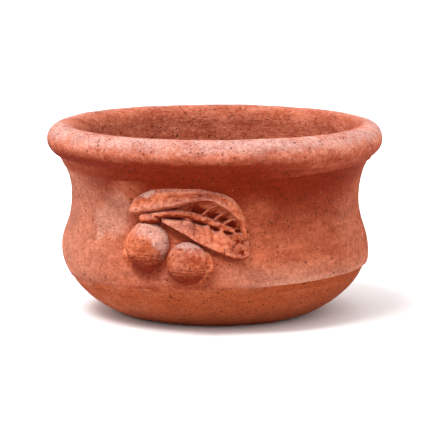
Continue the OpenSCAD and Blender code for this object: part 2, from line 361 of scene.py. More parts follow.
def earthenware(name, deep, body, pale, pale_lime_and_light, shade, mottle=0.6, combed=0.2, grit=1.0):
    """Unglazed red earthenware, wheel-thrown or hand-built and fired once: a dry, matt body of
    uneven red and orange, wiped in fine lines round the pot, with dark pits where grit fell out,
    pale grains of grog, and chalky lime on worn places. The same pale colour is laid on as
    painted light, and the shade colour as painted shade.
    Real grit is under 1 mm; it is drawn about 2 mm across, as fine as the picture shows."""
    material = bpy.data.materials.new(name)
    material.use_nodes = True
    tree = material.node_tree
    place = add(tree, "TexCoord").outputs["Object"]
    lime_and_painted_light, hollow, told_combed = [
        add(tree, "Attribute", {"attribute_name": told}).outputs["Fac"]
        for told in ("lime_and_painted_light", "hollow", "combed")]

    # The clay's clouds, smears, combed lines, fine mottling and sand: size in mm, detail,
    # roughness, and how much flatter than wide
    uneven = []
    for size_mm, detail, rough, flatter in [(48, 3, 0.55, 1), (24, 5, 0.6, 2.6),
                                            (22, 4, 0.7, 11), (4, 4, 0.6, 1),
                                            (1.9, 2, 0.7, 1.6)]:
        flattened = add(tree, "Mapping", inputs={"Vector": place, "Scale": (1, 1, flatter)})
        uneven.append(add(tree, "TexNoise", inputs={
            "Vector": flattened.outputs[0], "Scale": 1000 / size_mm, "Detail": detail,
            "Roughness": rough}).outputs["Fac"])
    cloud, smear, lines, fine, sand = uneven
    tone = add(tree, "Mix", inputs={0: 0.55, 2: cloud, 3: smear}).outputs[0]
    worn = add(tree, "Mix", inputs={0: 0.45, 2: fine, 3: smear}).outputs[0]
    flakes = add(tree, "Mix", inputs={0: 0.4545, 2: fine, 3: sand}).outputs[0]

    # Each pattern eased in: where it starts to show, where it is full, and its least
    toned, mottled, lined, flaked, drifted = [
        add(tree, "MapRange", {"interpolation_type": "SMOOTHSTEP"}, {
            "Value": pattern, "From Min": start, "From Max": full,
            "To Min": least}).outputs[0]
        for pattern, start, full, least in [
            (tone, 0.33, 0.67, 0), (worn, 0.38, 0.72, 0), (lines, 0.53, 0.36, 0),
            (flakes, 0.3636, 0.6364, 0.6), (worn, 0.32, 0.68, 0)]]
    comb = add(tree, "Math", {"operation": "MAXIMUM"}, {0: told_combed, 1: combed})
    combing = add(tree, "Math", {"operation": "MULTIPLY"}, {
        0: lined, 1: comb.outputs[0]}).outputs[0]
    lime_and_light_share = add(tree, "Math", {"operation": "MULTIPLY"}, {0: lime_and_painted_light, 1: flaked}).outputs[0]

    # Grains have ragged edges: their places are jittered by 1.5 mm in lumps of 1.6 mm
    ragged = add(tree, "TexNoise", inputs={"Vector": place, "Scale": 1000 / 1.6})
    jitter = add(tree, "VectorMath", {"operation": "SCALE"}, {
        0: ragged.outputs["Color"], "Scale": 1.5 * MM}).outputs[0]
    ragged_place = add(tree, "VectorMath", inputs={0: place, 1: jitter}).outputs[0]

    def specks(size_mm, radius, share, seed):
        """1 at the middle of scattered ragged grains: a share of the cells hold one."""
        shifted = add(tree, "Mapping", inputs={"Vector": ragged_place,
                                               "Location": (seed, 0, 0)})
        cells = add(tree, "TexVoronoi", inputs={
            "Vector": shifted.outputs[0], "Scale": 1000 / size_mm})
        chance = add(tree, "SeparateColor", inputs={"Color": cells.outputs["Color"]})
        dot, held = [
            add(tree, "MapRange", {"interpolation_type": "SMOOTHSTEP"}, {
                "Value": value, "From Min": start, "From Max": full}).outputs[0]
            for value, start, full in [
                (cells.outputs["Distance"], radius, radius * 0.5),
                (chance.outputs[0], 1 - share, 1 - share * 0.5)]]
        return add(tree, "Math", {"operation": "MULTIPLY"}, {0: dot, 1: held}).outputs[0]

    def laid_over(colour, layers):
        """The colour with others laid over it: where, how strongly and which."""
        for where, strength, code in layers:
            amount = add(tree, "Math", {"operation": "MULTIPLY"}, {0: where, 1: strength})
            colour = add(tree, "Mix", {"data_type": "RGBA"}, {
                0: amount.outputs[0], 6: colour, 7: linear(code)}).outputs[2]
        return colour

    # Pits of two sizes and grains of grog: spacing in mm, radius as a share of it, share
    # of the cells that hold one, and a shift that serves as a seed
    pits = add(tree, "Math", {"operation": "MAXIMUM"}, {
        0: specks(7.0, 0.19, 0.4, 3.1), 1: specks(3.4, 0.26, 0.25, 5.7)}).outputs[0]
    grog = specks(5.2, 0.15, 0.18, 8.3)
    # The shade colour is laid on as painted shade, and the pale colour as lime and as painted
    # light
    colour = laid_over(linear(deep), [
        (toned, 1, body), (mottled, mottle, pale), (combing, 0.8, deep),
        (lime_and_light_share, 1, pale_lime_and_light), (hollow, 1, shade)])
    grain = add(tree, "Mix", inputs={0: 0.15, 2: sand, 3: drifted}).outputs[0]
    grey = add(tree, "CombineColor", inputs={0: grain, 1: grain, 2: grain})
    sandy = add(tree, "Mix", {"data_type": "RGBA", "blend_type": "OVERLAY"}, {
        0: 0.75 * grit, 6: colour, 7: grey.outputs[0]})
    colour = laid_over(sandy.outputs[2], [
        (pits, 0.7 * grit, "#4a1c10"), (grog, 0.2, "#e8ab90")])

    # Sand stands out of the surface; combed lines and pits lie in it
    height = 0
    for share, pattern in [(0.35, fine), (0.8, sand), (-0.45, combing), (-0.9, pits)]:
        height = add(tree, "Math", {"operation": "MULTIPLY_ADD"}, {
            0: pattern, 1: share, 2: height}).outputs[0]
    bump = add(tree, "Bump", inputs={"Height": height, "Distance": 1.5 * MM})
    # Dry fired clay is matt, with next to no gloss
    shader = tree.nodes["Principled BSDF"]
    shader.inputs["Roughness"].default_value = 0.93
    shader.inputs["IOR"].default_value = 1.45
    shader.inputs["Specular IOR Level"].default_value = 0.12
    tree.links.new(colour, shader.inputs["Base Color"])
    tree.links.new(bump.outputs[0], shader.inputs["Normal"])
    return material


def fit(piece, material, slot, *nodes):
    """Gives a finished piece its clay, and puts it in the place of its solids."""
    piece.data.materials.clear()
    piece.data.materials.append(material)
    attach(piece, "root")
    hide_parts(*nodes)


# Finished with a wet rib, so its red is the most even of the four clays
wall_clay = earthenware("thrown_red_earthenware", deep="#98452b", body="#ae5537",
                        pale="#bb6a4d", pale_lime_and_light="#c8947f", shade="#6d1800")

belly_at = (belly_r - belly_arc, belly_z)
waist_at = (waist_r + waist_arc, waist_z)
inner_belly_at = (inner_belly_r - inner_belly_arc, belly_z)
inner_waist_at = (inner_waist_r + inner_waist_arc, inner_waist_z)
lip_round, lip_in = 2 * MM, 3.2 * MM
crease_z = neck_z + 0.6 * MM
lap = slope(seam_z + seam_rise - belly_z, inner_belly_arc)
upper_wall = thrown("upper_wall_thrown", joined(
    arc((belly_at[0] + belly_arc - lip_in, seam_z + lip_round), lip_round, -90, -15, 0.5 * MM),
    arc(belly_at, belly_arc, slope(seam_z + lip_round - belly_z, belly_arc),
        slope(join_z - belly_z, belly_arc)),
    arc(waist_at, waist_arc, 180 - slope(join_z - waist_z, waist_arc),
        180 - slope(crease_z - waist_z, waist_arc))[1:],
    arc(tongue_at, tongue_r, 0, 180),
    (mouth_r, neck_z),
    arc(inner_waist_at, inner_waist_arc,
        180 - slope(neck_z - inner_waist_z, inner_waist_arc),
        180 - slope(inner_join_z - inner_waist_z, inner_waist_arc), 1.2 * MM)[1:],
    arc(inner_belly_at, inner_belly_arc, slope(inner_join_z - belly_z, inner_belly_arc),
        lap, 2.5 * MM)[1:]), 560)
# Depths of the wheel lines and of the finger lumps, and a seed
wall_marks = (0.2 * MM, 0.35 * MM, 2.0)


def wall_radius(z):
    """Outside radius of the wall at a height."""
    low = belly_at[0] + np.sqrt(np.maximum(belly_arc ** 2 - (z - belly_z) ** 2, 0))
    high = waist_at[0] - np.sqrt(np.maximum(waist_arc ** 2 - (z - waist_z) ** 2, 0))
    return np.where(z < join_z, low, high)


bowl_top = (float(wall_radius(seam_z)) - seam_step, seam_z)
half_chord = math.dist((foot_r, 0), bowl_top) / 2
rise = math.sqrt(bowl_arc ** 2 - half_chord ** 2)
bowl_at = ((foot_r + bowl_top[0]) / 2 - bowl_top[1] / (2 * half_chord) * rise,
           bowl_top[1] / 2 + (bowl_top[0] - foot_r) / (2 * half_chord) * rise)
seam_blend = 14 * MM
seam_reach = 17 * MM


def bowl_radius(z):
    """Outside radius of the lower bowl at a height."""
    return bowl_at[0] + np.sqrt(np.maximum(bowl_arc ** 2 - (z - bowl_at[1]) ** 2, 0))


def skin_radius(z):
    """Outside radius of the pot at a height, with the corner at the seam rounded off."""
    near = [np.where(z + step > seam_z, wall_radius(z + step), bowl_radius(z + step))
            for step in np.linspace(-seam_blend, seam_blend, 15)]
    return np.mean(near, axis=0)


def wiped(co):
    """How well the seam was wiped over: wholly from the left to the front, and not at the
    right."""
    return 1 - smoothstep(np.sin(turn_of(co) - camera_turn), -0.05, 0.5)


def seam_shift(co):
    """How far the outside moves in or out where the wiped seam is rounded off."""
    window = np.exp(-((co[:, 2] - seam_z) / seam_reach) ** 4)
    return wiped(co) * window * (skin_radius(co[:, 2]) - radius_of(co))


def shifted_out(co, shift):
    """Places moved away from the pot's axis by so much."""
    return co * np.stack([1 + shift / radius_of(co)] * 2 + [np.ones(len(co))], axis=1)


def on_wall(s, z, lift):
    """Places at widths s round the wall from the middle of the relief and at heights z,
    lifted off the wall, which keeps its own marks under what is laid on it."""
    turn = s / relief_r
    radius = wall_radius(z)
    wall = np.stack([radius * np.sin(turn), -radius * np.cos(turn), z], axis=1)
    radius = radius + lift + hand_marks(wall, *wall_marks) + slipped(wall) + seam_shift(wall)
    return by_hand(np.stack([radius * np.sin(turn), -radius * np.cos(turn), z], axis=1))


def painted_rim_shade(co):
    """How much painted shade lies under the rim: from lower down, and darker, on the front and
    the back than at the two sides, and a little over the waist."""
    facing = smoothstep(np.abs(np.cos(turn_of(co) - camera_turn - 0.15)), 0.15, 0.85)
    start, end = (122 - 56 * facing) * MM, (138 - 8 * facing) * MM
    kept = smoothstep(co[:, 2], start, end) * (0.5 + 0.46 * facing)
    return np.maximum(kept, 0.18 * smoothstep(co[:, 2], 60 * MM, 110 * MM))


seam_lip_t, inside_rings_t = 0.2 * MM, 0.3 * MM
marked(upper_wall, wall_marks)
wall_co = places(upper_wall)
outside = smoothstep(radius_of(wall_co) - wall_radius(wall_co[:, 2]), -6 * MM, -3 * MM)
seam_lip = np.exp(-((wall_co[:, 2] - seam_z - 1.5 * MM) / (3.5 * MM)) ** 2)
skin = outside * (slipped(wall_co) + seam_shift(wall_co)
                  + seam_lip_t * seam_lip * (1 - wiped(wall_co)))
skin += (1 - outside) * inside_rings_t * ripple(wall_co, 16 * MM, 6.0, 8)
move_to(upper_wall, by_hand(shifted_out(wall_co, skin)))

wall_turn = np.degrees(turn_of(wall_co) - camera_turn)
wall_s, wall_z = turn_of(wall_co) * relief_r / MM, wall_co[:, 2] / MM
ragged_edge = 6 * ripple(wall_co, 13 * MM, 17.0) + 2.5 * ripple(wall_co, 4 * MM, 18.0)
# Lime in patches on the left and faint on the right, and painted light as a pale haze over the
# left side
lime_and_left_light = np.maximum.reduce([
    0.65 * dent(wall_s + ragged_edge, wall_z + ragged_edge, (-72, 101.5), 19, 20, 20, soft=0.8),
    0.7 * dent(wall_s + ragged_edge, wall_z, (-89, 90), 9, 15, 10, soft=0.5),
    0.12 * dent(wall_s + ragged_edge, wall_z + ragged_edge, (172, 82), 26, 34, 0, soft=1.2),
    0.35 * smoothstep(-np.sin(np.radians(wall_turn)), 0.4, 0.95)])
# Paler above the seam, most of all right of the front, but not where it is wiped over
right_of_front = smoothstep(wall_turn, -5, 12) * smoothstep(wall_turn, 55, 30)
above_seam = (0.2 + 0.16 * right_of_front) * smoothstep(wall_z + 0.4 * ragged_edge, 70, 50)
above_seam *= 1 - 0.8 * wiped(wall_co) * smoothstep(wall_z, 56, 46)
# A painted highlight along the edge of the seam's lip, where the seam isn't wiped over
above_seam += 0.3 * seam_lip * (1 - wiped(wall_co))
# Painted shadow along the leaf's lower edge and round the two fruits, and less painted shade
# than on the rest of the waist beside the leaf's knob and its tip
painted_relief_shadow = np.maximum.reduce([
    0.7 * dent(wall_s, wall_z, (7, 82), 44, 4.5, -24, soft=0.7),
    0.75 * dent(wall_s, wall_z, (-31.5, 73), 20.5, 22, 0, soft=0.3),
    0.55 * dent(wall_s, wall_z, (6, 60.5), 22, 21, 0, soft=0.35)])
beside_leaf = np.maximum(0.45 * dent(wall_s, wall_z, (61, 103), 13, 15, -15, soft=1.2),
                         0.55 * dent(wall_s, wall_z, (-55, 121), 17, 12, 20, soft=1.2))
# Pale colour as lime and painted light outside, and a little painted light inside; painted shade
# under the rim and round the relief, and on the downward faces by the wiped seam
weather(upper_wall, 0.25, np.maximum(lime_and_left_light, above_seam) * outside + 0.1 * (1 - outside),
        outside * np.maximum(painted_rim_shade(wall_co) * (1 - beside_leaf), painted_relief_shadow),
        0.5 * outside * wiped(wall_co) * smoothstep(wall_z, 48.5, 44))
tell(upper_wall, "combed", 0.3 * (1 - outside))
fit(upper_wall, wall_clay, "wall_clay", "upper_wall")

# ---- Lower bowl ----
# The pressed bowl that the wall stands on, of the same clay, left coarser and redder,
# with more grit showing. Its top is bevelled and the wall is luted over it.

# Coarser and never ribbed, so that more pits show in a browner red
bowl_clay = earthenware("pressed_red_earthenware", deep="#a24a2a", body="#ba5c38",
                        pale="#c77d5e", pale_lime_and_light="#c4917c", shade="#92401f", grit=1.2)
floor_t = 14 * MM
slab_r = foot_r - 12 * MM
slab_bevel = 6 * MM
foot_round = 2 * MM
bowl_inside = bowl_arc - wall_t
lap_z = seam_z + seam_rise
lap_gap = 0.6 * MM
smear_h, smear_t = 9 * MM, 1.5 * MM
press_t, press_down, press_spread = 0.7 * MM, 4 * MM, 5 * MM
smear_heights = [seam_z + smear_h * i / 10 for i in range(1, 11)]
lower_bowl = thrown("lower_bowl_pressed", joined(
    (foot_r - foot_round, 0),
    arc(bowl_at, bowl_arc, slope(foot_round * 0.6 - bowl_at[1], bowl_arc),
        slope(seam_z - bowl_at[1], bowl_arc)),
    [(float(wall_radius(z)) - seam_step, z) for z in smear_heights],
    [(float(wall_radius(z)) - seam_step - smear_t, z) for z in smear_heights[::-1]],
    arc(bowl_at, bowl_inside, slope(lap_z - lap_gap - bowl_at[1], bowl_inside),
        slope(floor_t - bowl_at[1], bowl_inside), 2.5 * MM),
    (slab_r + slab_bevel, floor_t),
    (slab_r, 0)))
plain_co = places(lower_bowl)
smear_in = wall_radius(plain_co[:, 2]) - seam_step - radius_of(plain_co)
smear = (plain_co[:, 2] > seam_z + 0.1 * MM) & (smear_in < smear_t + 0.3 * MM)
marked(lower_bowl, (0.18 * MM, 0.4 * MM, 31.0))
bowl_co = places(lower_bowl)
bowl_out = smoothstep(radius_of(bowl_co) - bowl_radius(bowl_co[:, 2]), -6 * MM, -3 * MM)
pressed_band = np.exp(-((bowl_co[:, 2] - seam_z + press_down) / press_spread) ** 2)
skin = bowl_out * (seam_shift(bowl_co) - press_t * pressed_band * (1 - wiped(bowl_co)))
bowl_co = shifted_out(bowl_co, skin)
bowl_co[:, 2] = np.where(bowl_co[:, 2] < 0.5 * MM, 0, bowl_co[:, 2])
bowl_co[smear, 2] = plain_co[smear, 2]
above = bowl_co[:, 2] - seam_z
# How far the smear stands off the wall, in mm: it sinks into the wall at its ragged
# upper edge, and lies under the wall where the seam isn't wiped over
smear_edge = smear_h * np.maximum(0.7 + 0.7 * ripple(bowl_co, 11 * MM, 55.0), 0.2)
cover = wiped(bowl_co) * (0.3 - smoothstep(above, 0, smear_edge)) - 1.3 * (1 - wiped(bowl_co))
cover += 0.15 * ripple(bowl_co, 3 * MM, 58.0) - np.where(smear_in > smear_t / 2, smear_t / MM, 0)
smeared = on_wall(turn_of(bowl_co) * relief_r, bowl_co[:, 2], cover * MM)
share = bowl_out * wiped(bowl_co) * smoothstep(above, -9 * MM, 0)
share = np.where(smear, 1, share)[:, None]
move_to(lower_bowl, by_hand(bowl_co) * (1 - share) + smeared * share)
# Painted shade close under the seam, and on whatever faces the floor, less on the left; lime
# lies in patches, and near the foot there is painted light
under_seam = smoothstep(above, -13 * MM, -5 * MM) * (1 - 0.75 * wiped(bowl_co))
under_seam *= 1 - wiped(bowl_co) * smoothstep(above, -5 * MM, 3 * MM)
left_side = smoothstep(-np.sin(turn_of(bowl_co) - camera_turn), 0.3, 0.9)
below = (0.9 - 0.2 * left_side) * (1 - wiped(bowl_co) * smoothstep(above, -7 * MM, 6 * MM) * 0.6)
bowl_lime_and_foot_light = 0.3 * smoothstep(ripple(bowl_co, 16 * MM, 77.0), 0.0, 0.4)
bowl_lime_and_foot_light += 0.3 * smoothstep(above, -10 * MM, -36 * MM)
weather(lower_bowl, 0.0, bowl_lime_and_foot_light * bowl_out, under_seam, below)
fit(lower_bowl, bowl_clay, "bowl_clay", "lower_bowl")

# ---- Base slab ----
# A round slab rolled out flat, with the drain hole cut through it wet, wedged into the
# bottom of the bowl and smeared in.
drain_r = 12 * MM
# The hole's edges are softened by the thumb, by so much across and up or down
top_soft, foot_soft = (1 * MM, 1.5 * MM), (0.8 * MM, 1 * MM)
base_slab = thrown("base_slab_rolled", joined(
    (slab_r, 0), (slab_r + slab_bevel, floor_t), (drain_r + top_soft[0], floor_t),
    (drain_r, floor_t - top_soft[1]), (drain_r, foot_soft[1]), (drain_r + foot_soft[0], 0)), 160)
fit(base_slab, bowl_clay, "bowl_clay", "base_slab")

# ---- Rim coil ----
# A thick coil of clay pressed down over the tongue on the wall's top and rolled round
# with a wet cloth. It is worn pale and chalky down to where the hand no longer reaches.

# Rolled under a wet cloth and handled ever since, so it is mottled and chalky
rim_clay = earthenware("rolled_rim_earthenware", deep="#a14527", body="#bd5e3d",
                       pale="#c47a60", pale_lime_and_light="#c29a92", shade="#6d1800", mottle=0.9)


def right_side(co):
    """1 round the pot's right side, easing to 0 at its front and at its back."""
    turn = turn_of(co) - camera_turn
    return smoothstep(turn, 0.25, 0.65) * smoothstep(turn, 2.7, 2.0)


rim_coil = thrown("rim_coil_rolled", joined(
    (mouth_r, neck_z),
    arc(roll_at, roll_r, 180, -90, 1.3 * MM),
    arc(tongue_at, tongue_r, 0, 180)), 460)
marked(rim_coil, (0.1 * MM, 0.45 * MM, 53.0))
rim_co = places(rim_coil)
rim_co[:, 2] = np.minimum(rim_co[:, 2], pot_h)
# Angle round the roll: 0 straight out, 90 on top and 180 towards the mouth
roll_turn = np.degrees(np.arctan2(rim_co[:, 2] - roll_at[1], radius_of(rim_co) - roll_at[0]))
roll_turn = (roll_turn + 90) % 360 - 90
roll_turn += 7 * ripple(rim_co, 12 * MM, 5.0) + 5 * ripple(rim_co, 3.5 * MM, 8.0)
handled = smoothstep(roll_turn, -30, -2) * smoothstep(roll_turn, 128, 96)
# Lime lies on top, in patches, and thins out down the front and into the mouth
rubbed = handled * (0.1 + 0.72 * smoothstep(roll_turn, -4, 46))
rubbed *= 1 - 0.4 * smoothstep(ripple(rim_co, 18 * MM, 70.0), 0.05, 0.45)
front_gaps = smoothstep(ripple(rim_co, 6.5 * MM, 71.0), 0.0, 0.35)
rubbed *= 1 - 0.45 * front_gaps * smoothstep(roll_turn, 60, 20)
rubbed *= 1 - 0.5 * smoothstep(roll_turn, 70, 105)
rubbed += 0.08 * smoothstep(roll_turn, 95, 130)
move_to(rim_coil, by_hand(rim_co))
# Painted shade under the outer half of the roll, lighter on the right, and a little on the curve
# inside the mouth
shaded = (radius_of(rim_co) > roll_at[0]) * (1 - 0.35 * right_side(rim_co))
inner_curve = smoothstep(roll_turn, 90, 115) * smoothstep(roll_turn, 170, 140)
weather(rim_coil, 0.0, rubbed,
        np.maximum(painted_rim_shade(rim_co) * (1 - handled) * shaded, 0.15 * inner_curve),
        0.95 * shaded)
tell(rim_coil, "combed", 0.3 * smoothstep(roll_turn, 105, 135))
fit(rim_coil, rim_clay, "rim_clay", "rim_coil")

# ---- Neck band ----
# A thin band of soft clay smoothed into the corner under the rim. Its lower edge climbs
# to the right, where it shows as a step, and is wiped away on the left.
band_t, band_wiped_t = 1.8 * MM, 1.1 * MM
band_sunk = 0.8 * MM
band_low = neck_z - 8 * MM
band_high = neck_z + 2.4 * MM
edge_z, edge_climb, edge_top = 137.5 * MM, 6 * MM, 139.75 * MM
edge_turn = math.radians(40)
band_heights = [band_low + (band_high - band_low) * i / 16 for i in range(17)]
neck_band = thrown("neck_band_smoothed",
                   [(float(wall_radius(z)) + band_t, z) for z in band_heights]
                   + [(float(wall_radius(z)) - band_sunk, z) for z in band_heights[::-1]])
band_co = places(neck_band)
band_turn = turn_of(band_co) - camera_turn
low_edge = np.minimum(edge_z + edge_climb * np.sin(band_turn - edge_turn), edge_top)
new_z = band_high - (band_high - band_co[:, 2]) * (band_high - low_edge) / (band_high - band_low)
outer = radius_of(band_co) > wall_radius(band_co[:, 2])
thick = np.where(outer, band_t - band_wiped_t * smoothstep(np.sin(band_turn), 0.35, -0.4),
                 -band_sunk)
band_co[:, :2] *= ((wall_radius(new_z) + thick) / radius_of(band_co))[:, None]
band_co[:, 2] = new_z
move_to(neck_band, band_co)
marked(neck_band, wall_marks)
move_to(neck_band, by_hand(places(neck_band)))
# Painted shade as under the rim, lighter on the right
weather(neck_band, 0.0, 0.0, painted_rim_shade(band_co) * (1 - 0.28 * right_side(band_co)), 0.0)
fit(neck_band, wall_clay, "wall_clay", "neck_band")

# ---- Leaf blade ----
# A leaf cut from a rolled slab and laid on the wall with slip. Its lower half is pushed up
# into a thick lip with soft lobes; its upper half is gouged out between the veins.

# Modelled with the fingers and a wooden tool, so its orange is the brightest
relief_clay = earthenware("modelled_red_earthenware", deep="#9c4022", body="#c05a38",
                          pale="#dc8a64", pale_lime_and_light="#c29e95", shade="#681803", mottle=0.8,
                          combed=0.15)
# How deep each piece of the relief reaches into the wall
sunk = 1.6 * MM


def slab(name, along, across):
    """A flat slab of clay one unit long, wide and thick, in this many cells."""
    bpy.ops.object.select_all(action="DESELECT")
    bpy.ops.mesh.primitive_grid_add(x_subdivisions=along, y_subdivisions=across, size=1)
    piece = bpy.context.object
    piece.name = name
    bpy.ops.object.mode_set(mode="EDIT")
    bpy.ops.mesh.select_all(action="SELECT")
    bpy.ops.transform.translate(value=(0.5, 0.5, 0))
    bpy.ops.mesh.extrude_region_move(TRANSFORM_OT_translate={"value": (0, 0, 1)})
    bpy.ops.mesh.select_all(action="SELECT")
    bpy.ops.mesh.normals_make_consistent(inside=False)
    bpy.ops.object.mode_set(mode="OBJECT")
    bpy.ops.object.shade_smooth()
    return piece


def through(rows, part):
    """Smooth values through rows of numbers, at parts 0 to 1 of the way along them."""
    rows = np.array(rows, float)
    at = np.clip(part, 0, 1) * (len(rows) - 1)
    i = np.minimum(at.astype(int), len(rows) - 2)
    t = (at - i)[:, None]
    a, b, c = rows[np.maximum(i - 1, 0)], rows[i], rows[i + 1]
    d = rows[np.minimum(i + 2, len(rows) - 1)]
    return (b + (c - a) * t / 2 + (2 * a - 5 * b + 4 * c - d) * t ** 2 / 2
            + (3 * b - a - 3 * c + d) * t ** 3 / 2).T


def rounded(distance, radius):
    """The height, from 0 to 1, of a rounded edge at a distance in from it."""
    near = np.clip(1 - distance / radius, 0, 1)
    return np.sqrt(1 - near ** 2)


def flat_ripple(s, z, grain, seed):
    """The same noise over the unrolled wall, in mm."""
    return ripple(np.stack([s, z, z * 0], axis=1), grain, seed)


# From the stem to the tip: lower edge, midrib and upper edge, in mm
blade_rows = [
    [-37, 101.5, -37, 104, -37, 105],
    [-29, 101.0, -29, 105, -29, 107],
    [-20, 98.4, -20, 105.6, -20, 110],
    [-10, 93.2, -10, 106.4, -10, 113.5],
    [0, 88.0, 0, 106.4, 0, 118.5],
    [10, 82.2, 10, 104.5, 10, 121],
    [20, 77.2, 20, 100.5, 20, 120.5],
    [30, 73.0, 30, 96, 31, 116.5],
    [38, 69.8, 38, 93, 41, 109],
    [46, 67.6, 46, 90.5, 49, 99],
    [54.6, 71.5, 55, 80, 54.6, 88]]
blade_w, blade_len = 24, 92
blade_t = 2.4
# Heights off the wall, in mm: the lip along the blade and at the stem, the clay beside the
# midrib, the pockets and their far side, the ridges under the veins, the tip, the holes
lip_h, stem_lip_h = 7.0, 4.8
fold_h = blade_t + 1.6
pocket_h, flank_h = 1.2, 3.8
ridge_h, ridge_w = 1.6, 2.8
tip_h = 4.6
hole_h = 0.1
crease_w, crease_lean = 0.8, 0.14
# Creases that run up the lower half from the lip: place of the top, depth
creases = [((-3.0, 97.0), 0.4), ((8.0, 94.0), 1.1), ((22.4, 89.0), 1.2), ((36.0, 85.0), 0.8)]
# Notches pressed in under the midrib: place, half length, half width, slant
notches = [((-22.5, 100.2), 2.2, 1.7, -30), ((-11.0, 102.2), 9.5, 0.9, -3),
           ((11.5, 99.2), 7.0, 1.9, -17), ((25.4, 94.6), 4.3, 3.0, -35),
           ((36.6, 90.4), 4.4, 1.9, -10)]
# Holes gouged deepest above the midrib, in the same way
holes = [((11.5, 109.0), 7.0, 2.4, -10), ((24.5, 104.4), 7.0, 2.0, -13),
         ((33.5, 101.2), 5.2, 1.6, -12), ((38.5, 97.6), 5.2, 2.5, -16),
         ((44.4, 91.4), 3.8, 1.4, -6)]

# Veins that stand between the pockets, from the midrib to the margin
vein_runs = [((-0.5, 109.0), (8.4, 117.2)), ((14.4, 104.8), (26.0, 114.0)),
             ((24.6, 100.8), (35.0, 108.4)), ((32.8, 97.4), (42.6, 102.4))]

leaf_blade = slab("leaf_blade_modelled", 240, 130)
cell = places(leaf_blade)
part, top = cell[:, 0], cell[:, 2] > 0.5
# Up the blade: 0 at its lower edge, 1 at the midrib and 2 at its upper edge
half = 2 * cell[:, 1] ** 1.5
low_s, low_z, mid_s, mid_z, up_s, up_z = through(blade_rows, part)
f, g = np.clip(half, 0, 1), np.clip(half - 1, 0, 1)
s = low_s * (1 - f) + mid_s * f + (up_s - mid_s) * g
z = low_z * (1 - f) + mid_z * f + (up_z - mid_z) * g
swell = stem_lip_h + (lip_h - stem_lip_h) * smoothstep(part, 0, 0.25)
lower = fold_h + (swell - fold_h) * (1 - f) ** 0.8
for (top_s, top_z), deep in creases:
    off = (s - top_s - crease_lean * (top_z - z)) / crease_w
    fold = 1.6 * np.exp(-off ** 2) + 1.5 * np.exp(-(off / 4) ** 2)
    lower -= deep * fold * smoothstep(f, 0, 0.3)
upper = pocket_h + flank_h * g ** 3
for start, end in vein_runs:
    middle = ((start[0] + end[0]) / 2, (start[1] + end[1]) / 2)
    slant = math.degrees(math.atan2(end[1] - start[1], end[0] - start[0]))
    upper += ridge_h * dent(s, z, middle, 0.6 * math.dist(start, end), ridge_w, slant,
                            soft=1.3)
lift = np.where(half < 1, lower, upper)
rough_tip = smoothstep(s, 32, 43) * smoothstep(z, 95, 84)
lift += rough_tip * (tip_h - lift)
lift += 0.6 * flat_ripple(s, z, 8, 4.0)
tip_lumps = flat_ripple(s, z, 4.5, 9.0)
lift += rough_tip * 1.9 * tip_lumps + 0.3 * flat_ripple(s, z, 2.4, 14.0)
for at, length, width, slant in notches + holes:
    lift += (hole_h - lift) * dent(s, z, at, length, width, slant, soft=0.8)
lift *= 0.45 + 0.55 * rounded(f * blade_w, 3.6)
lift *= rounded(part * blade_len, 3) * rounded((1 - part) * blade_len, 7)
# The lower edge is undercut: its back is tucked up behind the lip
tuck = np.where(top, 0, 3.4 * (1 - f) ** 3)
move_to(leaf_blade, on_wall(s * MM, (z + tuck) * MM, np.where(top, lift * MM, -sunk)))
# Painted shade in the gouged pockets and holes, over the upper half, and over the rough tip,
# most in its hollows; the left of the lower half is lighter with painted light
pocket_shade = np.maximum.reduce([
    smoothstep(lift, 2.4, 0.5), 0.4 * smoothstep(half, 1.05, 1.3),
    rough_tip * (0.45 + 0.55 * smoothstep(-tip_lumps, 0, 0.5))])
weather(leaf_blade, 0.6, 0.3 * smoothstep(part, 0.7, 0.3) * (half < 1), pocket_shade * top)
fit(leaf_blade, relief_clay, "relief_clay", "leaf_blade")

# ---- Leaf margin ----
# A fat roll of clay laid along the top of the leaf and round its tip. Its outer flank is
# drawn out and smeared down onto the wall; its inner flank stands up steeply.

# From the knob to the tip: inner edge, outer edge and height as a share of margin_h
margin_rows = [
    [-50.5, 105.6, -51, 112.5, 0.75],
    [-46.5, 103.6, -47.5, 118.8, 0.95],
    [-35, 105.2, -34, 125.0, 1],
    [-21.5, 107.8, -20.5, 128.0, 1],
    [-9, 110.8, -7.5, 128.8, 1],
    [7, 115.8, 9.5, 128.2, 0.95],
    [20, 117.4, 24, 126.0, 0.92],
    [31, 111.8, 37.5, 121.5, 0.9],
    [39.5, 104.6, 46.5, 112.5, 0.82],
    [45, 97.5, 52, 101.5, 0.7],
    [47.6, 88, 55, 88, 0.56],
    [47.6, 77.5, 55.6, 76, 0.48],
    [45.5, 71.6, 51, 67.6, 0.4]]
margin_h = 8.2
margin_len, margin_w = 165, 24
leaf_margin = slab("leaf_margin_rolled", 330, 56)
cell = places(leaf_margin)
part, g, top = cell[:, 0], cell[:, 1], cell[:, 2] > 0.5
in_s, in_z, out_s, out_z, height = through(margin_rows, part)
edge = 0.8 * flat_ripple(part * margin_len, part * 0, 13, 36.0)
s, z = in_s + (out_s - in_s) * g, in_z + (out_z + edge - in_z) * g
